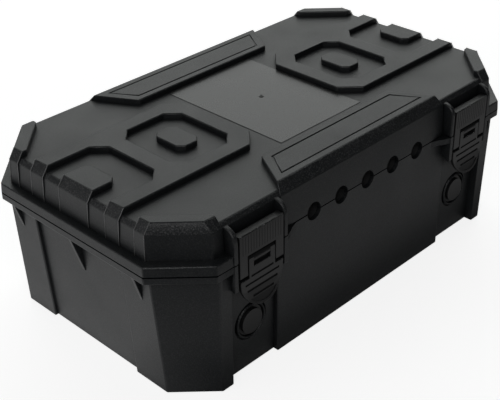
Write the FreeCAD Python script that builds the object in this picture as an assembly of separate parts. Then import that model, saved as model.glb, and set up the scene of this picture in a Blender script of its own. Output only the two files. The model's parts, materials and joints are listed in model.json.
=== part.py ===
# Weather-resistant cable case: drafted tub, hinged lid with a relief top, five split
# cable ports along the front and two lever latches. Millimetres.
# +X runs along the length, the latches and ports face -Y, +Z is up.
# The origin is the centre of the tub's flat underside.
import FreeCAD, Part
import math
import os
from FreeCAD import Vector

# ---------------------------------------------------------------- heights
LID_TOP = 112.0          # raised relief surface of the lid
RELIEF = 3.6             # height of the relief above the lid's low surface
BEVEL_FOOT = 106.0       # where the lid's edge bevel meets its upright wall
PARTING = 84.2           # lid and tub meet here
PART_GAP = 0.15          # half of the gap at the parting plane
FLANGE_TOP = 90.5        # top of the lid's outer flange
RIM_FOOT = 79.5          # underside of the tub's rim
WALL = 2.8               # moulded wall
FLOOR = 3.0              # tub floor

# ---------------------------------------------------------------- outlines: half length, half width, corner cut
FLANGE = (159.0, 91.6, 27.6)
LID_FOOT = (153.8, 86.0, 25.6)
LID_SHOULDER = (152.6, 84.8, 25.0)
LID_CROWN = (148.4, 80.0, 20.0)
LOW_FOOT = (153.6, 84.8, 25.6)
LOW_SHOULDER = (151.9, 84.3, 25.0)
LOW_CROWN = (149.6, 82.2, 22.6)
LOW_SHOULDER_Z = 105.6
TUB_HEAD = (152.2, 83.6, 25.0)
TUB_FOOT = (147.3, 82.4, 22.4)

# ---------------------------------------------------------------- tub front and corners
BLOCK_HEAD = (154.5, 89.4, 26.6)
BLOCK_FOOT = (149.4, 88.0, 22.6)
BLOCK_X = 118.5          # latch bay side of a corner block
BLOCK_Y = 39.0           # end-wall side of a corner block
PANEL_X = 79.3           # half length of the plain front panel
PANEL_Y = 86.0           # its distance from the middle plane
LIP_X = 61.0             # where the rim's curved lip dies into the panel

# ---------------------------------------------------------------- latches
LATCH_X = 98.0           # centre of a latch
LATCH_HALF = 17.0        # half width of a latch
EAR_IN, EAR_OUT = 80.0, 77.0
EAR_FRONT = 92.0
LINK_PIVOT = (-88.4, 97.6)
LEVER_PIVOT = (-89.2, 82.0)
KEEPER = (-87.6, 70.0)
WINDOW_HALF, WINDOW_TOP = 10.9, 86.0
TAB_TOP, TAB_KNEE, TAB_FOOT = 71.4, 69.6, 51.6
TAB_FACE = [(-92.1, 83.6), (-92.2, TAB_TOP), (-92.2, 63.0), (-93.1, 58.0), (-95.0, TAB_FOOT)]
TAB_BACK = [(-92.6, TAB_FOOT), (-90.9, 58.0), (-90.1, 63.0), (-89.8, TAB_TOP), (-89.6, 83.6)]

# ---------------------------------------------------------------- pins, ports, hinge, plugs
LINK_PIN_R, LEVER_PIN_R, KEEPER_R, HINGE_PIN_R = 1.5, 1.3, 1.5, 1.5
RUNNING = 0.05           # radial clearance of a turning joint
PORT_R = 5.75
PORT_PITCH = 24.3
PORT_COUNT = 5
SEAL_HALF = 62.0
HINGE = (96.2, PARTING)
HINGE_R = 3.2
PLUG_X, PLUG_Z = 98.9, 32.9
MOAT_R, BOSS_R, BOSS_IN_R = 12.7, 11.5, 10.2
PLUG_R, PLUG_FACE_R, PLUG_BORE_R = 9.6, 8.0, 8.3
BOSS_FACE, BOSS_SEAT = -84.0, -81.6


def octagon(shape, z, grow=0.0):
    """Closed outline of a rectangle with its corners cut, at height z."""
    hx, hy, cut = shape[0] + grow, shape[1] + grow, shape[2] + 0.586 * grow
    pts = [(hx, hy - cut), (hx - cut, hy), (cut - hx, hy), (-hx, hy - cut),
           (-hx, cut - hy), (cut - hx, -hy), (hx - cut, -hy), (hx, cut - hy)]
    return Part.makePolygon([Vector(x, y, z) for x, y in pts + pts[:1]])


def tower(levels, grow=0.0):
    """Solid through a stack of octagons given as (outline, z)."""
    return Part.makeLoft([octagon(s, z, grow) for s, z in levels], True, True)


def prism(points, z0, z1):
    """Upright prism over an outline in X and Y."""
    wire = Part.makePolygon([Vector(x, y, z0) for x, y in points + points[:1]])
    return Part.Face(wire).extrude(Vector(0, 0, z1 - z0))


def taper(low, z0, high, z1):
    """Solid between two outlines with the same number of corners."""
    wires = [Part.makePolygon([Vector(x, y, z) for x, y in pts + pts[:1]])
             for pts, z in ((low, z0), (high, z1))]
    return Part.makeLoft(wires, True, True)


def side_plate(points, x0, x1):
    """Plate between two X stations over an outline in Y and Z."""
    wire = Part.makePolygon([Vector(x0, y, z) for y, z in points + points[:1]])
    return Part.Face(wire).extrude(Vector(x1 - x0, 0, 0))


def block(x0, x1, y0, y1, z0, z1):
    return Part.makeBox(x1 - x0, y1 - y0, z1 - z0, Vector(x0, y0, z0))


def rod_x(radius, x0, x1, y, z):
    return Part.makeCylinder(radius, x1 - x0, Vector(x0, y, z), Vector(1, 0, 0))


def rod_y(radius, y0, y1, x, z):
    return Part.makeCylinder(radius, y1 - y0, Vector(x, y0, z), Vector(0, 1, 0))


def flip_x(shape):
    return shape.mirror(Vector(0, 0, 0), Vector(1, 0, 0))


def flip_y(shape):
    return shape.mirror(Vector(0, 0, 0), Vector(0, 1, 0))


def both_sides(shape):
    """A shape and its mirror image on the other side of the X = 0 plane."""
    return [shape, flip_x(shape)]


def four_corners(shape):
    return [shape, flip_x(shape), flip_y(shape), flip_x(flip_y(shape))]


def join(shapes):
    return shapes[0].multiFuse(shapes[1:]).removeSplitter()


def save(name, shape):
    shape = shape.removeSplitter()
    if shape.ShapeType != "Solid" and len(shape.Solids) == 1:
        shape = shape.Solids[0]
    shape.exportStep("parts/" + name + ".step")


# ================================================================ tub
def corner_block(wall):
    """One corner of the tub standing proud of its long and end walls."""
    def outline(shape):
        hx, hy, cut = shape[0] - wall, shape[1] - wall, shape[2] - 0.586 * wall
        bx, by = BLOCK_X + wall, BLOCK_Y + wall
        return [(bx, 70), (bx, hy), (hx - cut, hy), (hx, hy - cut), (hx, by), (130, by)]
    foot = FLOOR if wall else 0.0
    return taper(outline(BLOCK_FOOT), foot, outline(BLOCK_HEAD), PARTING + 1)


def tub_body(wall):
    """Tub volume, drawn in by the wall thickness for its cavity."""
    foot = FLOOR if wall else 0.0
    core = tower([(TUB_FOOT, foot), (TUB_HEAD, PARTING + 1)], -wall)
    px, py = PANEL_X - wall, PANEL_Y - wall
    panels = block(-px, px, -py, py, foot, PARTING + 1)
    return join([core, panels] + four_corners(corner_block(wall)))


def rim_outline():
    """Front half of the rim: lips, latch gaps and the plain flange."""
    hx, hy, cut = FLANGE
    lip = [(LIP_X, -PANEL_Y + 1), (LIP_X + 3, -PANEL_Y), (LIP_X + 8, -PANEL_Y - 1.7),
           (LIP_X + 12, -PANEL_Y - 3.9), (EAR_OUT, -hy), (EAR_IN, -hy), (EAR_IN, -84.8)]
    end = [(2 * LATCH_X - EAR_IN, -84.8), (2 * LATCH_X - EAR_IN, -hy), (hx - cut, -hy), (hx, cut - hy)]
    return lip + end


def rim_plate():
    hx, hy, cut = FLANGE
    back = [(hx, hy - cut), (hx - cut, hy)]
    right = rim_outline() + back
    left = [(-x, y) for x, y in reversed(right)]
    return prism(right + left, RIM_FOOT, PARTING - PART_GAP)


def ear_outline(top, low):
    """Latch ear in Y and Z: tub ears hang below the rim, lid ears round over on top."""
    if top > PARTING:
        curve = [(-84.0, 106.0)]
        for step in range(7):
            turn = math.radians(15 * step)
            curve.append((-85.0 - 7.0 * math.sin(turn), 99.0 + 7.0 * math.cos(turn)))
        return curve + [(-EAR_FRONT, low), (-80.0, low), (-80.0, 106.0)]
    return [(-80.0, top), (-EAR_FRONT, top), (-EAR_FRONT, low), (-EAR_FRONT + 1, low - 0.6), (-83.0, low + 4.5)]


def ears(top, low):
    outline = ear_outline(top, low)
    width = EAR_IN - EAR_OUT
    pair = [side_plate(outline, EAR_OUT, EAR_IN),
            side_plate(outline, 2 * LATCH_X - EAR_IN, 2 * LATCH_X - EAR_IN + width)]
    return pair + [flip_x(p) for p in pair]


def gussets():
    """Thin triangular ribs that carry the rim at the two ends."""
    parts = []
    for y in (-54.0, 0.0, 54.0):
        face = [(147.0, RIM_FOOT + 1), (158.2, RIM_FOOT + 1), (158.2, RIM_FOOT - 0.5), (151.0, 55.0),
                (147.0, 55.0)]
        wire = Part.makePolygon([Vector(x, y - 1.2, z) for x, z in face + face[:1]])
        parts += both_sides(Part.Face(wire).extrude(Vector(0, 2.4, 0)))
    return parts


def hinge_arm(x0, x1, above):
    """One hinge knuckle with the arm that ties it to the lid or the tub."""
    y, z = HINGE
    knuckle = rod_x(HINGE_R, x0, x1, y, z)
    if above:
        arm = block(x0, x1, 84.0, y - 1.5, PARTING + 1.2, PARTING + HINGE_R)
    else:
        arm = block(x0, x1, 84.0, y - 1.5, PARTING - HINGE_R, PARTING - 1.2)
    return [knuckle, arm]


def port_cutters(y0, y1):
    first = -(PORT_COUNT - 1) / 2.0
    return [rod_y(PORT_R, y0, y1, (first + i) * PORT_PITCH, PARTING) for i in range(PORT_COUNT)]


def ledge(z0, z1, inner):
    """Seat inside the tub's mouth for the gasket, open behind the ports."""
    outer = tower([((151.0, 84.0, 24.5), z0), ((151.0, 84.0, 24.5), z1)])
    hole = tower([(inner, z0 - 1), (inner, z1 + 1)])
    ring = outer.cut(hole)
    return ring.cut(block(-SEAL_HALF - 0.3, SEAL_HALF + 0.3, -95, -60, z0 - 1, z1 + 1))


LEDGE_IN = (142.5, 76.2, 22.0)
GASKET_OUT, GASKET_IN = (147.4, 80.4, 23.0), (143.4, 77.0, 22.3)
SKIRT_OUT, SKIRT_IN = (146.8, 79.9, 22.9), (144.4, 77.9, 22.5)
SEAL_BACK, SEAL_FRONT = -77.0, -(PANEL_Y - WALL)
MEMBRANE = 1.4


def base_shell():
    top = PARTING - PART_GAP
    body = join([tub_body(0.0), rim_plate()] + ears(top, 66.4) + gussets())
    body = body.cut(block(-200, 200, -200, 200, top, 200))
    body = body.cut(tub_body(WALL))
    body = body.fuse(ledge(77.4, 80.6, LEDGE_IN).common(tub_body(0.4)))
    for sx in (-1, 1):
        x = sx * PLUG_X
        boss = rod_y(BOSS_R, BOSS_FACE, BOSS_SEAT + 1.8, x, PLUG_Z)
        boss = boss.cut(rod_y(BOSS_IN_R, -90, BOSS_SEAT, x, PLUG_Z))
        body = body.cut(rod_y(MOAT_R, -90, BOSS_SEAT, x, PLUG_Z)).fuse(boss)
        body = body.cut(rod_y(PLUG_BORE_R, -90, -70, x, PLUG_Z))
    arms = []
    for sx in (-1, 1):
        for dx in (-15.0, 8.0):
            arms += hinge_arm(sx * LATCH_X + dx, sx * LATCH_X + dx + 7.0, False)
    body = join([body] + arms)
    cuts = port_cutters(-95, SEAL_FRONT + 0.5)
    for sx in (-1, 1):
        x = sx * LATCH_X
        cuts.append(rod_x(HINGE_PIN_R, x - 20, x + 20, *HINGE))
        cuts.append(rod_x(KEEPER_R, x - 19.8, x + 19.8, *KEEPER))
        cuts.append(block(x - 17.9, x + 17.9, -95, -84.8, 60, 90))
    cuts += both_sides(side_plate([(-95, RIM_FOOT), (-87.8, RIM_FOOT), (-89.4, 66.0), (-95, 66.0)], 119.0, 125.0))
    for cut in cuts:
        body = body.cut(cut)
    return body


def seal_strip(z0, z1):
    """Soft strip behind the ports, with a thin closed membrane in each half hole."""
    strip = block(-SEAL_HALF, SEAL_HALF, SEAL_FRONT, SEAL_BACK, z0, z1)
    for cut in port_cutters(SEAL_FRONT - 1, SEAL_BACK - 2.6):
        strip = strip.cut(cut)
    for cut in port_cutters(SEAL_BACK - 2.6 + MEMBRANE, SEAL_BACK + 1):
        strip = strip.cut(cut)
    return strip


def plug(x):
    """Push-in blanking plug: raised face, flange and hollow body."""
    seat = BOSS_SEAT - 0.25
    face = rod_y(PLUG_FACE_R, BOSS_FACE - 0.6, seat, x, PLUG_Z)
    flange = rod_y(PLUG_R, seat - 0.75, seat, x, PLUG_Z)
    body = rod_y(PLUG_BORE_R, seat, seat + 4.95, x, PLUG_Z)
    hollow = rod_y(PLUG_BORE_R - 1.6, seat + 1.15, seat + 6.0, x, PLUG_Z)
    return join([face, flange, body]).cut(hollow)


# ================================================================ lid
def plateau():
    """Right-hand raised relief in plan: plateau, sunk octagon, open bay and islands."""
    outer = prism([(40.0, -26.7), (52.4, -39.1), (175, -39.1), (175, 39.1), (52.4, 39.1), (40.0, 26.7)],
                  80, 120)

    def cut_rect(x0, x1, y, c, right_cut=True):
        tail = [(x1 - c, -y), (x1, c - y), (x1, y - c), (x1 - c, y)] if right_cut else [(x1, -y), (x1, y)]
        return prism([(x0, c - y), (x0 + c, -y)] + tail + [(x0 + c, y), (x0, y - c)], 80, 120)
    sunk = cut_rect(52.3, 97.3, 27.7, 8.1).cut(cut_rect(66.1, 83.1, 12.8, 4.1))
    bay = cut_rect(110.0, 176, 27.7, 8.1, False).cut(cut_rect(130.6, 177, 12.8, 4.1, False))
    return outer.cut(sunk).cut(bay)


def rail():
    slope = (72.9 - 57.8) / (79.7 - 53.3)
    reach = 72.9 + (98 - 79.7) * slope
    return prism([(-reach, -98), (reach, -98), (57.8, -53.3), (-57.8, -53.3)], 80, 120)


def rail_groove():
    """Shallow outline engraved on a rail."""
    def frame(inset):
        return prism([(-64.7 + inset * 1.2, -75.5 + inset), (64.7 - inset * 1.2, -75.5 + inset),
                      (54.2 - inset * 0.9, -57.9 - inset), (-54.2 + inset * 0.9, -57.9 - inset)],
                     LID_TOP - 0.6, LID_TOP + 1)
    return frame(0.0).cut(frame(0.9))


def corner_bar():
    return prism([(120.0, 77.3), (145.3, 52.0), (175, 52.0), (175, 110), (120.0, 110)], 80, 120)


def lid_outside():
    low = tower([(LOW_FOOT, PARTING + PART_GAP), (LOW_SHOULDER, LOW_SHOULDER_Z), (LOW_CROWN, LID_TOP - RELIEF)])
    full = tower([(LID_FOOT, PARTING + PART_GAP), (LID_SHOULDER, BEVEL_FOOT), (LID_CROWN, LID_TOP)])
    pattern = both_sides(plateau()) + [rail(), flip_y(rail())] + four_corners(corner_bar())
    raised = [full.common(p) for p in pattern]
    return join([low] + raised)


def lid_flange():
    """Outer flange at the ends and back, stopping at the outer latch ears."""
    z0, z1 = PARTING + PART_GAP, FLANGE_TOP
    plate = tower([(FLANGE, z0), ((158.6, 91.2, 27.5), z1)])
    stop = 2 * LATCH_X - EAR_IN
    return plate.cut(block(-stop, stop, -100, -84.0, z0 - 1, z1 + 1))


def lid_shell():
    z0 = PARTING + PART_GAP
    body = join([lid_outside(), lid_flange()] + ears(200.0, z0))
    inner = tower([((150.0, 81.6, 24.4), z0 - 1), ((148.6, 80.6, 23.8), 103.0),
                   ((146.0, 78.2, 21.0), LID_TOP - RELIEF - WALL)])
    body = body.cut(inner)
    collar = tower([((151.2, 82.6, 24.4), z0), ((151.2, 82.6, 24.4), z0 + 3.0)])
    collar = collar.cut(tower([(SKIRT_IN, z0 - 1), (SKIRT_IN, z0 + 4.0)]))
    skirt = tower([(SKIRT_OUT, 83.9), (SKIRT_OUT, z0 + 0.5)]).cut(tower([(SKIRT_IN, 83), (SKIRT_IN, z0 + 1)]))
    seat = block(-SEAL_HALF - 0.3, SEAL_HALF + 0.3, -84, -60, 80, 90)
    body = join([body, collar.cut(seat), skirt.cut(seat)])
    body = body.cut(block(-SEAL_HALF, SEAL_HALF, SEAL_FRONT, -60, z0 - 5, 94.0))
    arms = []
    for sx in (-1, 1):
        arms += hinge_arm(sx * LATCH_X - 7.6, sx * LATCH_X + 7.6, True)
    body = join([body] + arms)
    cuts = [rail_groove(), flip_y(rail_groove())] + port_cutters(-95, SEAL_FRONT + 0.8)
    for sx in (-1, 1):
        x = sx * LATCH_X
        cuts.append(rod_x(HINGE_PIN_R + RUNNING, x - 20, x + 20, *HINGE))
        cuts.append(rod_x(LINK_PIN_R, x - 19.8, x + 19.8, *LINK_PIVOT))
    for cut in cuts:
        body = body.cut(cut)
    return body


# ================================================================ latches
def link(x):
    """Pull link: barrel on the lid's pin, ribbed plate and two arms beside the window."""
    y, z = LINK_PIVOT
    half = LATCH_HALF
    plate = [(-92.1, 73.4), (-88.8, 73.4), (-88.8, 94.4), (-86.8, 96.4), (-86.0, 99.5), (-87.6, 100.6),
             (-91.7, 100.6), (-92.1, 100.1)]
    body = join([side_plate(plate, x - half, x + half), rod_x(3.0, x - half, x + half, y, z)])
    cheek = [(-91.0, 77.0), (-86.4, 77.0), (-86.0, 78.6), (-86.0, 85.0), (-88.8, 87.0), (-91.0, 87.0)]
    cheeks = [side_plate(cheek, x + s * 14.0 - 3.0, x + s * 14.0 + 3.0) for s in (-1, 1)]
    body = join([body] + cheeks)
    body = body.cut(block(x - WINDOW_HALF, x + WINDOW_HALF, -100, -80, 60, WINDOW_TOP))
    for step in range(-7, 8):
        body = body.cut(block(x + step * 2.1 - 0.25, x + step * 2.1 + 0.25, -93, -91.85, 88.0, 99.4))
    body = body.cut(rod_x(LINK_PIN_R + RUNNING, x - 30, x + 30, y, z))
    return body.cut(rod_x(LEVER_PIN_R, x - 16.0, x + 16.0, *LEVER_PIVOT))


def tab_outline(x, inset):
    """Thumb tab in X and Z: square shoulders running into a round foot."""
    half = LATCH_HALF - 0.2 - inset
    drop = TAB_KNEE - TAB_FOOT - inset
    points = [(x - half, TAB_TOP), (x + half, TAB_TOP), (x + half, TAB_KNEE)]
    for step in range(1, 12):
        turn = math.radians(15 * step)
        points.append((x + half * math.cos(turn), TAB_KNEE - drop * math.sin(turn)))
    return points + [(x - half, TAB_KNEE)]


def face_prism(points, y0, y1):
    wire = Part.makePolygon([Vector(x, y0, z) for x, z in points + points[:1]])
    return Part.Face(wire).extrude(Vector(0, y1 - y0, 0))


def tab_face(z):
    """Y of the thumb tab's front surface at a given height."""
    for (y1, z1), (y0, z0) in zip(TAB_FACE, TAB_FACE[1:]):
        if z >= z0:
            return y0 + (y1 - y0) * (z - z0) / (z1 - z0)


def lever(x):
    """Thumb lever: slotted tongue in the window, kicked-out tab with grip grooves, hook shelf behind."""
    y, z = LEVER_PIVOT
    tab = side_plate(TAB_FACE + TAB_BACK, x - LATCH_HALF, x + LATCH_HALF)
    tongue = block(x - 10.2, x + 10.2, -100, -80, TAB_TOP, 84.0)
    tab = join([tab.common(tongue), tab.common(face_prism(tab_outline(x, 0.0), -100, -80))])
    tab = tab.cut(block(x - 6.4, x + 6.4, -95, -85, 77.8, 84.0))
    barrel = rod_x(2.9, x - 10.2, x + 10.2, y, z)
    shelf = side_plate([(-92.0, 68.2), (-86.9, 68.2), (-86.9, 67.0), (-88.6, 65.6), (-92.0, 63.6)], x - 8.0, x + 8.0)
    body = join([tab, barrel, shelf])
    high, low = 57.6, 53.2
    dish = side_plate([(-100, high), (tab_face(high) + 0.4, high), (tab_face(low) + 0.4, low), (-100, low)],
                      x - LATCH_HALF, x + LATCH_HALF)
    body = body.cut(dish.common(face_prism(tab_outline(x, 1.6), -101, -80)))
    for level, half in ((72.0, 8.7), (67.5, 13.3), (63.1, 11.9), (58.9, 8.2)):
        body = body.cut(rod_x(0.7, x - half, x + half, tab_face(level), level))
    return body.cut(rod_x(LEVER_PIN_R + RUNNING, x - 12, x + 12, y, z))


# ================================================================ write the pieces
def main():
    os.makedirs("parts", exist_ok=True)
    top, low = PARTING + PART_GAP, PARTING - PART_GAP
    save("base_shell", base_shell())
    save("lid_shell", lid_shell())
    save("base_port_seal", seal_strip(74.0, low))
    save("lid_port_seal", seal_strip(top, 94.0))
    gasket = tower([(GASKET_OUT, 80.6), (GASKET_OUT, 83.6)]).cut(tower([(GASKET_IN, 80), (GASKET_IN, 84)]))
    save("tub_gasket", gasket.cut(block(-SEAL_HALF - 0.3, SEAL_HALF + 0.3, -90, -60, 79, 85)))
    save("lid_label_plate", block(-34.4, 38.9, -47.2, 52.4, LID_TOP - RELIEF, LID_TOP - RELIEF + 0.3))
    for side, sx in (("left", -1), ("right", 1)):
        x = sx * LATCH_X
        save("hinge_pin_" + side, rod_x(HINGE_PIN_R, x - 15.0, x + 15.0, *HINGE))
        save("keeper_pin_" + side, rod_x(KEEPER_R, x - 19.8, x + 19.8, *KEEPER))
        save("link_pin_" + side, rod_x(LINK_PIN_R, x - 19.8, x + 19.8, *LINK_PIVOT))
        save("lever_pin_" + side, rod_x(LEVER_PIN_R, x - 16.0, x + 16.0, *LEVER_PIVOT))
        save("latch_link_" + side, link(x))
        save("latch_lever_" + side, lever(x))
        save("blanking_plug_" + side, plug(sx * PLUG_X))
        seal = rod_y(PLUG_R - 0.4, BOSS_SEAT - 0.25, BOSS_SEAT, sx * PLUG_X, PLUG_Z)
        save("plug_seal_" + side, seal.cut(rod_y(PLUG_BORE_R, -90, -70, sx * PLUG_X, PLUG_Z)))


main()
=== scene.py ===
import json
import math

import bmesh
import bpy
from mathutils import Matrix, Vector


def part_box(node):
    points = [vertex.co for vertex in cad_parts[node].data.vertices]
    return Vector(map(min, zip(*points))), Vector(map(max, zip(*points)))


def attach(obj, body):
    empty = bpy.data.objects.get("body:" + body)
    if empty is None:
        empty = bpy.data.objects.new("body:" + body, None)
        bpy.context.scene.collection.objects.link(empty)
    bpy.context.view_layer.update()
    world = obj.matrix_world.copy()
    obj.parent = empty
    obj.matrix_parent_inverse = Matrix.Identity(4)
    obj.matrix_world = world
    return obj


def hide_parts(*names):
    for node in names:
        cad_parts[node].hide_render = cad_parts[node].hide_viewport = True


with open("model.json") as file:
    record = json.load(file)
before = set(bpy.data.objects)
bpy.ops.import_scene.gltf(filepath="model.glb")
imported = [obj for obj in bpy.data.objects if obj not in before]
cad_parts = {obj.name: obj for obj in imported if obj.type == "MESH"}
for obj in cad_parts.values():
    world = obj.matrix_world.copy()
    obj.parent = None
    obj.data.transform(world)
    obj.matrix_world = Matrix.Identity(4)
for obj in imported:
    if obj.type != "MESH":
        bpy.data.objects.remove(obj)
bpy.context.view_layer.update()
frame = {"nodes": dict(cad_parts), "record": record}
nodes = frame["nodes"]
scene = bpy.context.scene
slot_of = {s["node"]: s["material_slot"] for s in frame["record"]["subparts"]}
body_of = {n: body for body, names in frame["record"]["behaviour"]["bodies"].items() for n in names}

PARTING_Z = 0.0842        # the lid meets the tub here


def add_object(name, data):
    """A new object at the origin, linked to the scene."""
    obj = bpy.data.objects.new(name, data)
    scene.collection.objects.link(obj)
    return obj


# ---------------------------------------------------------------- camera
LENS, SENSOR_WIDTH = 76.63, 36.0
CAMERA_PLACE = Vector((-0.43962, -0.42341, 0.40892))
CAMERA_RIGHT = Vector((0.69787, -0.71603, -0.01671))
CAMERA_UP = Vector((0.38479, 0.35515, 0.85194))


def make_camera():
    data = bpy.data.cameras.new("camera")
    data.sensor_fit = "HORIZONTAL"
    data.sensor_width, data.lens = SENSOR_WIDTH, LENS
    data.clip_start, data.clip_end = 0.05, 20.0
    cam = add_object("camera", data)
    back = CAMERA_RIGHT.cross(CAMERA_UP).normalized()
    up = back.cross(CAMERA_RIGHT).normalized()
    turn = Matrix((CAMERA_RIGHT.normalized(), up, back)).transposed().to_4x4()
    cam.matrix_world = Matrix.Translation(CAMERA_PLACE) @ turn
    scene.camera = cam


make_camera()


# ---------------------------------------------------------------- materials
class Nodes:
    """A material with a Principled shader, and short ways to add and link its nodes."""

    def __init__(self, name):
        self.material = bpy.data.materials.new(name)
        self.material.use_nodes = True
        self.tree = self.material.node_tree
        self.tree.nodes.clear()
        self.out = self.add("ShaderNodeOutputMaterial")
        self.bsdf = self.add("ShaderNodeBsdfPrincipled")
        self.link(self.bsdf.outputs[0], self.out.inputs["Surface"])
        self.coord = self.add("ShaderNodeTexCoord").outputs["Object"]

    def add(self, kind, **props):
        node = self.tree.nodes.new(kind)
        for key, value in props.items():
            setattr(node, key, value)
        return node

    def link(self, a, b):
        self.tree.links.new(a, b)

    def set(self, **values):
        """Constants on the shader's own sockets; an underscore stands for a space."""
        for key, value in values.items():
            self.bsdf.inputs[key.replace("_", " ")].default_value = value

    def split(self, vector):
        n = self.add("ShaderNodeSeparateXYZ")
        self.link(vector, n.inputs[0])
        return n.outputs

    def noise(self, scale, detail=3.0, rough=0.5, vector=None):
        n = self.add("ShaderNodeTexNoise")
        n.inputs["Scale"].default_value = scale
        n.inputs["Detail"].default_value = detail
        n.inputs["Roughness"].default_value = rough
        self.link(vector or self.coord, n.inputs["Vector"])
        return n.outputs[0]

    def ramp(self, value, low, high, a, b):
        """From a where value is low to b where it is high."""
        n = self.add("ShaderNodeMapRange")
        for key, v in (("From Min", low), ("From Max", high), ("To Min", a), ("To Max", b)):
            n.inputs[key].default_value = v
        self.link(value, n.inputs["Value"])
        return n.outputs[0]

    def mix(self, factor, a, b):
        """Colour a where factor is 0, b where it is 1."""
        n = self.add("ShaderNodeMix", data_type="RGBA")
        self.link(factor, n.inputs["Factor"])
        for key, v in (("A", a), ("B", b)):
            socket = [s for s in n.inputs if s.name == key and s.type == "RGBA"][0]
            if isinstance(v, tuple):
                socket.default_value = (*v, 1)
            else:
                self.link(v, socket)
        return [s for s in n.outputs if s.type == "RGBA"][0]

    def math(self, op, a, b=None):
        n = self.add("ShaderNodeMath", operation=op)
        for i, v in enumerate((a, b)):
            if v is None:
                continue
            if isinstance(v, (int, float)):
                n.inputs[i].default_value = v
            else:
                self.link(v, n.inputs[i])
        return n.outputs[0]

    def share(self, a, b, part):
        """A sum of two values, the first one's part and the second one's rest."""
        return self.math("ADD", self.math("MULTIPLY", a, part), self.math("MULTIPLY", b, 1 - part))

    def bump(self, height, strength, distance, normal=None):
        n = self.add("ShaderNodeBump")
        n.inputs["Strength"].default_value = strength
        n.inputs["Distance"].default_value = distance
        self.link(height, n.inputs["Height"])
        if normal is not None:
            self.link(normal, n.inputs["Normal"])
        return n.outputs[0]


CLOUD_SCALE = 35.0                        # tone and gloss drift over about 30 mm
COARSE_GRAIN = 0.35                       # scale of the coarse grain, as a part of the fine one's
DUST_SCALE, DUST_TONE = 1300.0, (0.075, 0.077, 0.077)
PIT_SCALE, PIT_DEPTH = 1150.0, 0.00035    # the pitted texture of sloping faces, whose pale specks are painted glints
CREVICE_REACH = 0.013                     # walls nearer than this darken a hollow with painted shade
# the tone of the painted shade in hollows and along the parting line
CREVICE_SHADE_TONE = (0.003, 0.0035, 0.0042)
SPECULAR = 0.5


def plastic(name, dark, light, rough, grain_scale, grain_depth, slope_grain_and_glints=0.0, crevice_shade=0.0,
            seam_shadow=False, specks=(0.50, 0.66, 0.075), mottle=0.0):
    """Moulded plastic with a cloudy tone and a fine grain. slope_grain_and_glints adds pits with
    pale specks, painted glints, on sloping faces (specks: pit levels where they start and are full,
    and their tone), crevice paints shade into hollows, darker and duller, seam paints a shadow line
    along the parting line, and mottle adds pale dust."""
    m = Nodes(name)
    cloud = m.noise(CLOUD_SCALE, 4.0, 0.55)
    fine = m.noise(grain_scale, 2.0, 0.6)
    coarse = m.noise(grain_scale * COARSE_GRAIN, 3.0, 0.6)
    spread = 0.3 * (rough - 0.18)         # a glossier plastic varies less
    roughness = m.ramp(m.share(cloud, coarse, 0.5), 0.3, 0.7, rough - spread, rough + spread)
    normal = m.bump(m.share(fine, coarse, 0.5), 1.0, grain_depth)
    colour = m.mix(m.ramp(m.share(cloud, fine, 0.6), 0.3, 0.7, 0.0, 1.0), dark, light)
    if mottle:
        dust = m.ramp(m.noise(DUST_SCALE, 2.0, 0.7), 0.48, 0.68, 0.0, mottle)
        colour = m.mix(dust, colour, DUST_TONE)
    if slope_grain_and_glints:
        upward = m.split(m.add("ShaderNodeNewGeometry").outputs["True Normal"])["Z"]
        slope = m.math("MULTIPLY", m.ramp(upward, 0.30, 0.40, 0.0, 1.0),
                       m.ramp(upward, 0.80, 0.92, 1.0, 0.0))
        pits = m.noise(PIT_SCALE, 1.5, 0.7)
        low, high, pale = specks
        # painted glints: pale specks in the pits of sloping faces
        painted_glint = m.math("MULTIPLY", m.ramp(pits, low, high, 0.0, 1.0), slope)
        colour = m.mix(m.math("MULTIPLY", painted_glint, slope_grain_and_glints), colour,
                       (pale, pale * 1.02, pale * 1.05))
        normal = m.bump(m.math("MULTIPLY", pits, slope), 0.6, PIT_DEPTH, normal)
    # Painted shade: hollows get a darker, duller surface where nearby walls would shade them.
    if crevice_shade:
        hollow = m.add("ShaderNodeAmbientOcclusion", samples=6)
        hollow.inputs["Distance"].default_value = CREVICE_REACH
        unshaded = m.ramp(hollow.outputs["AO"], 0.30, 0.74, 1.0 - crevice_shade, 1.0)
        # painted shadow line: the parting line gets the painted shade tone and no gloss
        if seam_shadow:
            off_seam = m.math("ABSOLUTE", m.math("SUBTRACT", m.split(m.coord)["Z"], PARTING_Z))
            unshaded = m.math("MULTIPLY", unshaded, m.ramp(off_seam, 0.0004, 0.0006, 0.0, 1.0))
        m.link(m.math("MULTIPLY", unshaded, SPECULAR), m.bsdf.inputs["Specular IOR Level"])
        colour = m.mix(unshaded, CREVICE_SHADE_TONE, colour)
    m.link(colour, m.bsdf.inputs["Base Color"])
    m.link(roughness, m.bsdf.inputs["Roughness"])
    m.link(normal, m.bsdf.inputs["Normal"])
    return m.material


def steel():
    """Drawn steel with fine streaks along the pins."""
    m = Nodes("pin_steel")
    stretch = m.add("ShaderNodeMapping")
    stretch.inputs["Scale"].default_value = (30.0, 1500.0, 1500.0)
    m.link(m.coord, stretch.inputs["Vector"])
    streak = m.noise(1.0, 3.0, 0.6, stretch.outputs[0])
    m.set(Metallic=1.0)
    m.link(m.mix(streak, (0.42, 0.42, 0.43), (0.62, 0.62, 0.63)), m.bsdf.inputs["Base Color"])
    m.link(m.ramp(streak, 0.3, 0.7, 0.22, 0.36), m.bsdf.inputs["Roughness"])
    m.link(m.bump(streak, 0.4, 0.00002), m.bsdf.inputs["Normal"])
    return m.material


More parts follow.
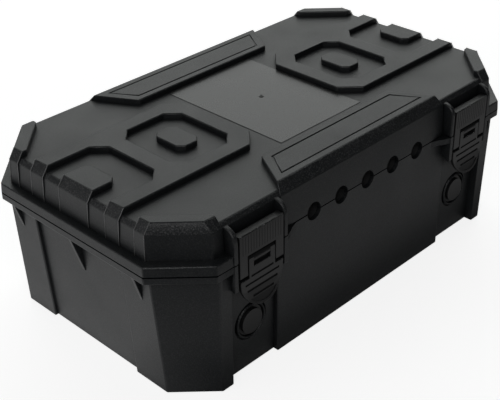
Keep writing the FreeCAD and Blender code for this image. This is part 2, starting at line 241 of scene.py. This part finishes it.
SHELL_TONES = (0.0102, 0.0118, 0.0132), (0.0150, 0.0165, 0.0178)
# the shell's look paints shade into hollows and glints onto sloping faces
SHELL_LOOK = dict(rough=0.42, grain_scale=3500.0, grain_depth=0.00009, slope_grain_and_glints=0.9,
                  crevice_shade=0.75, mottle=0.30)
LATCH_TONES = (0.014, 0.0142, 0.0147), (0.020, 0.0202, 0.0207)
# the latch's look paints shade into hollows
LATCH_LOOK = dict(rough=0.36, grain_scale=4500.0, grain_depth=0.00003, crevice_shade=0.6)
SHELL_PALE_LINE = plastic("shell_plastic_worn", (0.10, 0.101, 0.103), (0.26, 0.262, 0.265),
                     0.45, 1400.0, 0.00003)
LABEL = plastic("label_plastic", (0.020, 0.0203, 0.0203), (0.024, 0.0243, 0.0243),
                0.28, 6000.0, 0.00001)
LABEL.node_tree.nodes["Principled BSDF"].inputs["Specular IOR Level"].default_value = 0.62
FINISH = {
    "shell_plastic": plastic("shell_plastic", *SHELL_TONES, **SHELL_LOOK),
    "latch_plastic": plastic("latch_plastic", *LATCH_TONES, **LATCH_LOOK),
    "plug_plastic": plastic("plug_plastic", *LATCH_TONES, **LATCH_LOOK),
    "label_plastic": LABEL,
    "seal_rubber": plastic("seal_rubber", (0.010, 0.010, 0.0105), (0.016, 0.016, 0.0165),
                           0.6, 3000.0, 0.00004),
    "pin_steel": steel(),
}
# What the rounded edges of a piece wear, where that isn't the piece's own finish.
EDGE_FINISH = {
    # the shell's rounded edges carry the painted shadow line along the parting line
    "shell_plastic": plastic("shell_plastic_edge", *SHELL_TONES, seam_shadow=True, **SHELL_LOOK),
    # the latch's rounded edges get bright pale specks, painted glints
    "latch_plastic": plastic("latch_plastic_edge", *LATCH_TONES, slope_grain_and_glints=0.9,
                             specks=(0.60, 0.66, 0.5), **LATCH_LOOK),
}
for name, obj in nodes.items():
    obj.data.materials.clear()
    obj.data.materials.append(FINISH[slot_of[name]])


# ---------------------------------------------------------------- moulded edges
ROUNDING = {"lid_shell": 0.0007, "base_shell": 0.0007, "latch_link": 0.00035,
            "latch_lever": 0.00035, "blanking_plug": 0.0005, "lid_label_plate": 0.00012}
SEAM, CROWN = 0.0003, 0.0009      # bevels along the parting line and over the links' tops
ROUNDING_STEPS = 2
LEAST_ROUNDING = 0.00004          # narrower bevels are left out
SLOT_WALL_AREA = 3.2e-6           # smaller faces are walls of grooves, which stay sharp
SHORTEST_EDGE = 0.0008            # shorter edges are facets of holes and barrels
HINGE_Y = 0.0885                  # the hinge knuckles lie behind this
CROWN_Y, CROWN_Z = -0.0918, 0.1003
LEAST_CORNER, MOST_CORNER = math.radians(24), math.radians(150)
RIB_GROOVE_FLOOR_Y, RIB_GROOVE_LIFT = -0.09185, 0.00014
RIB_GROOVE_Z = 0.0875, 0.0998


def merged(node):
    """A CAD node's mesh with its triangles merged into flat faces."""
    bm = bmesh.new()
    bm.from_mesh(node.data)
    bmesh.ops.remove_doubles(bm, verts=bm.verts, dist=2e-6)
    bmesh.ops.dissolve_limit(bm, angle_limit=math.radians(1.0), verts=bm.verts, edges=bm.edges)
    return bm


def edge_room(edge, rounded):
    """Widest bevel an edge can take before it runs into a neighbour."""
    room = 1.0
    along = (edge.verts[1].co - edge.verts[0].co).normalized()
    for vert in edge.verts:
        for other in vert.link_edges:
            if other is edge:
                continue
            way = (other.other_vert(vert).co - vert.co).normalized()
            if other in rounded and abs(way.dot(along)) > 0.8:
                continue
            room = min(room, 0.42 * other.calc_length())
    return room


def outer_corner(edge):
    """True for a clear convex corner between two faces."""
    return (edge.is_manifold and edge.is_convex
            and LEAST_CORNER < edge.calc_face_angle() < MOST_CORNER)


def takes_rounding(edge):
    """Outer corners, except around small holes, along fine grooves and at the hinge."""
    return (outer_corner(edge) and edge.calc_length() >= SHORTEST_EDGE
            and all(v.co.y <= HINGE_Y for v in edge.verts)
            and min(f.calc_area() for f in edge.link_faces) >= SLOT_WALL_AREA)


def widest(edge, usual):
    """Bevel width for an edge that has room for it."""
    if all(abs(v.co.z - PARTING_Z) < 0.0003 for v in edge.verts):
        return SEAM
    if all(v.co.z > CROWN_Z and v.co.y < CROWN_Y for v in edge.verts):
        return CROWN
    return usual


def moulded(node, usual, width):
    """A refined copy of a CAD node with its outer edges rounded as a mould leaves them. Most get
    the usual rounding; width is the widest of all."""
    bm = merged(node)
    if node.name.startswith("latch_link"):
        low, high = RIB_GROOVE_Z
        for v in bm.verts:
            if abs(v.co.y - RIB_GROOVE_FLOOR_Y) < 0.00004 and low < v.co.z < high:
                v.co.y -= RIB_GROOVE_LIFT
    bm.normal_update()
    weight = bm.edges.layers.float.new("bevel_weight_edge")
    rounded = {e for e in bm.edges if takes_rounding(e)}
    for edge in rounded:
        size = min(widest(edge, usual), edge_room(edge, rounded))
        edge[weight] = size / width if size > LEAST_ROUNDING else 0.0
    for face in bm.faces:
        face.smooth = True
        face.material_index = 0
    mesh = bpy.data.meshes.new(node.name + "_moulded")
    bm.to_mesh(mesh)
    bm.free()
    mesh.set_sharp_from_angle(angle=LEAST_CORNER)
    obj = add_object(node.name + "_moulded", mesh)
    slot = slot_of[node.name]
    obj.data.materials.append(FINISH[slot])
    obj.data.materials.append(EDGE_FINISH.get(slot, FINISH[slot]))
    bevel = obj.modifiers.new("rounding", "BEVEL")
    bevel.limit_method = "WEIGHT"
    bevel.width = width
    bevel.segments = ROUNDING_STEPS
    bevel.use_clamp_overlap = False
    bevel.material = 1
    bevel.miter_outer = "MITER_SHARP"
    weighted = obj.modifiers.new("face_normals", "WEIGHTED_NORMAL")
    weighted.keep_sharp = True
    weighted.weight = 100
    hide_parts(node.name)
    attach(obj, body_of[node.name])


for name, obj in nodes.items():
    for family, usual in ROUNDING.items():
        if name.startswith(family):
            moulded(obj, usual, CROWN if family == "latch_link" else usual)


# ---------------------------------------------------------------- fine additions
GATE_PLACE = 0.0028, 0.0047
GATE_PROFILE = ((0.0019, -0.00005), (0.0017, 0.00004), (0.0014, 0.00040),     # radius, height
                (0.0011, 0.00045), (0.0008, 0.00010), (0.0003, 0.00006))
BEAD_RADIUS = 0.00026
END_WALL_X = 0.138                # the lid's end walls lie beyond this
WALL_FOOT_Z = 0.0855
SHORTEST_LEG_EDGE = 0.004


def circle(centre, radius, sides):
    """Points on a level circle."""
    turns = (2 * math.pi * k / sides for k in range(sides))
    return [centre + radius * Vector((math.cos(a), math.sin(a), 0)) for a in turns]


def loft(name, tubes, body, finish):
    """Closed tubes, each a list of rings of points, as one piece."""
    bm = bmesh.new()
    for tube in tubes:
        rows = [[bm.verts.new(p) for p in ring] for ring in tube]
        for a, b in zip(rows, rows[1:]):
            for i in range(len(a)):
                j = (i + 1) % len(a)
                bm.faces.new((a[i], a[j], b[j], b[i]))
        for row in (rows[0], rows[-1]):
            bm.faces.new(row)
    bmesh.ops.recalc_face_normals(bm, faces=bm.faces)
    for face in bm.faces:
        face.smooth = True
    mesh = bpy.data.meshes.new(name)
    bm.to_mesh(mesh)
    bm.free()
    obj = add_object(name, mesh)
    obj.data.materials.append(finish)
    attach(obj, body)


def gate_mark():
    """Small raised rim with a dimple, left where the label plate was filled."""
    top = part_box("lid_label_plate")[1][2]
    rings = [circle(Vector((*GATE_PLACE, top + h)), r, 28) for r, h in GATE_PROFILE]
    loft("label_gate_mark", [rings], "lid", LABEL)


def leg_lines():
    """Fine pale beads down the outer edges of the legs on the lid's end walls."""
    bm = merged(nodes["lid_shell"])
    tubes = []
    for edge in bm.edges:
        low, high = sorted((v.co.copy() for v in edge.verts), key=lambda c: c.z)
        rise = high.z - low.z
        upright = rise >= SHORTEST_LEG_EDGE and (high - low).length <= 1.3 * rise
        at_end = min(abs(low.x), abs(high.x)) >= END_WALL_X and low.z >= WALL_FOOT_Z
        if upright and at_end and outer_corner(edge):
            tubes.append([circle(p, BEAD_RADIUS, 6) for p in (low, low.lerp(high, 0.5), high)])
    bm.free()
    loft("lid_leg_lines", tubes, "lid", SHELL_PALE_LINE)


gate_mark()
leg_lines()


# ---------------------------------------------------------------- floor and light
# Glow of the unseen card: in front it falls low next to the case, the case's painted shadow on the
# table.
GLOW_FRONT, GLOW_PAINTED_SHADOW, GLOW_FAR = 0.41, 0.02, 0.05
GLOW_CORNER, GLOW_CORNER_FAR = 0.42, 0.04
GLOW_BACK = 0.645
FLOOR_GLOW = 0.80
AIM = Vector((0, 0, 0.06))


def plane(name, half, z):
    """A level square for the stage."""
    mesh = bpy.data.meshes.new(name)
    corners = [(-half, -half, z), (half, -half, z), (half, half, z), (-half, half, z)]
    mesh.from_pydata(corners, [], [(0, 1, 2, 3)])
    obj = add_object(name, mesh)
    return obj


def floor():
    """Pale paper that only the camera sees. Its own glow keeps it even under the soft lights."""
    obj = plane("floor", 8.0, -0.0006)
    m = Nodes("floor_paper")
    m.link(m.mix(m.noise(3.0), (0.5, 0.5, 0.5), (0.53, 0.53, 0.53)), m.bsdf.inputs["Base Color"])
    m.set(Roughness=1.0, Specular_IOR_Level=0.0, Emission_Color=(1, 1, 1, 1),
          Emission_Strength=FLOOR_GLOW)
    obj.data.materials.append(m.material)
    obj.visible_glossy = obj.visible_diffuse = obj.visible_shadow = False


def bounce():
    """What the case's sides mirror, unseen by the camera: a glowing card with a lit table's light
    painted in, pale behind and to the left, and in front dark by the case with the case's painted
    shadow, pale a little away from it and dark again."""
    obj = plane("bounce_card", 3.0, -0.0012)
    m = Nodes("bounce_card")
    where = m.split(m.coord)
    x, y = where["X"], where["Y"]
    # painted shadow: the card in front dims next to the case
    right = m.math("MINIMUM", m.ramp(y, -0.15, -0.095, GLOW_FRONT, GLOW_PAINTED_SHADOW),
                   m.ramp(y, -0.30, -0.15, GLOW_FAR, GLOW_FRONT))
    corner = m.ramp(m.math("ADD", x, y), -0.42, -0.25, GLOW_CORNER_FAR, GLOW_CORNER)
    front = m.math("ADD", m.math("MULTIPLY", right, m.ramp(x, -0.19, -0.15, 0.0, 1.0)),
                   m.math("MULTIPLY", corner, m.ramp(x, -0.19, -0.15, 1.0, 0.0)))
    back = m.ramp(y, -0.10, -0.02, 0.0, GLOW_BACK)
    m.set(Base_Color=(0.02, 0.02, 0.02, 1), Roughness=1.0, Specular_IOR_Level=0.0,
          Emission_Color=(1, 1, 1, 1))
    m.link(m.math("MAXIMUM", front, back), m.bsdf.inputs["Emission Strength"])
    obj.data.materials.append(m.material)
    obj.visible_camera = False


def soft_light(name, azimuth, elevation, distance, size, radiance, tint=(1.0, 1.0, 1.0)):
    """A rectangular light that faces the case, azimuth from +X towards +Y."""
    data = bpy.data.lights.new(name, "AREA")
    data.shape = "RECTANGLE"
    data.size, data.size_y = size
    data.color = tint
    data.energy = math.pi * size[0] * size[1] * radiance
    obj = add_object(name, data)
    a, e = math.radians(azimuth), math.radians(elevation)
    way = Vector((math.cos(e) * math.cos(a), math.cos(e) * math.sin(a), math.sin(e)))
    obj.location = AIM + distance * way
    obj.rotation_euler = (-way).to_track_quat("-Z", "Y").to_euler()
    obj.visible_camera = False


def white_world():
    """White behind everything, which lights nothing."""
    world = bpy.data.worlds.new("studio")
    scene.world = world
    world.use_nodes = True
    background = world.node_tree.nodes["Background"]
    background.inputs["Color"].default_value = (1, 1, 1, 1)
    background.inputs["Strength"].default_value = 0.93
    world.cycles_visibility.diffuse = world.cycles_visibility.glossy = False


floor()
bounce()
soft_light("back_light", 45, 34, 1.8, (3.2, 1.7), 1.15, (0.972, 1.0, 0.982))
soft_light("left_light", 170, 25, 1.8, (2.0, 1.2), 0.49)
soft_light("key_light", 225, 40, 1.6, (1.0, 1.0), 1.6)
soft_light("corner_light", 222, 27, 1.6, (0.6, 0.35), 1.8)
white_world()
scene.view_settings.view_transform = "Standard"

bpy.context.view_layer.update()
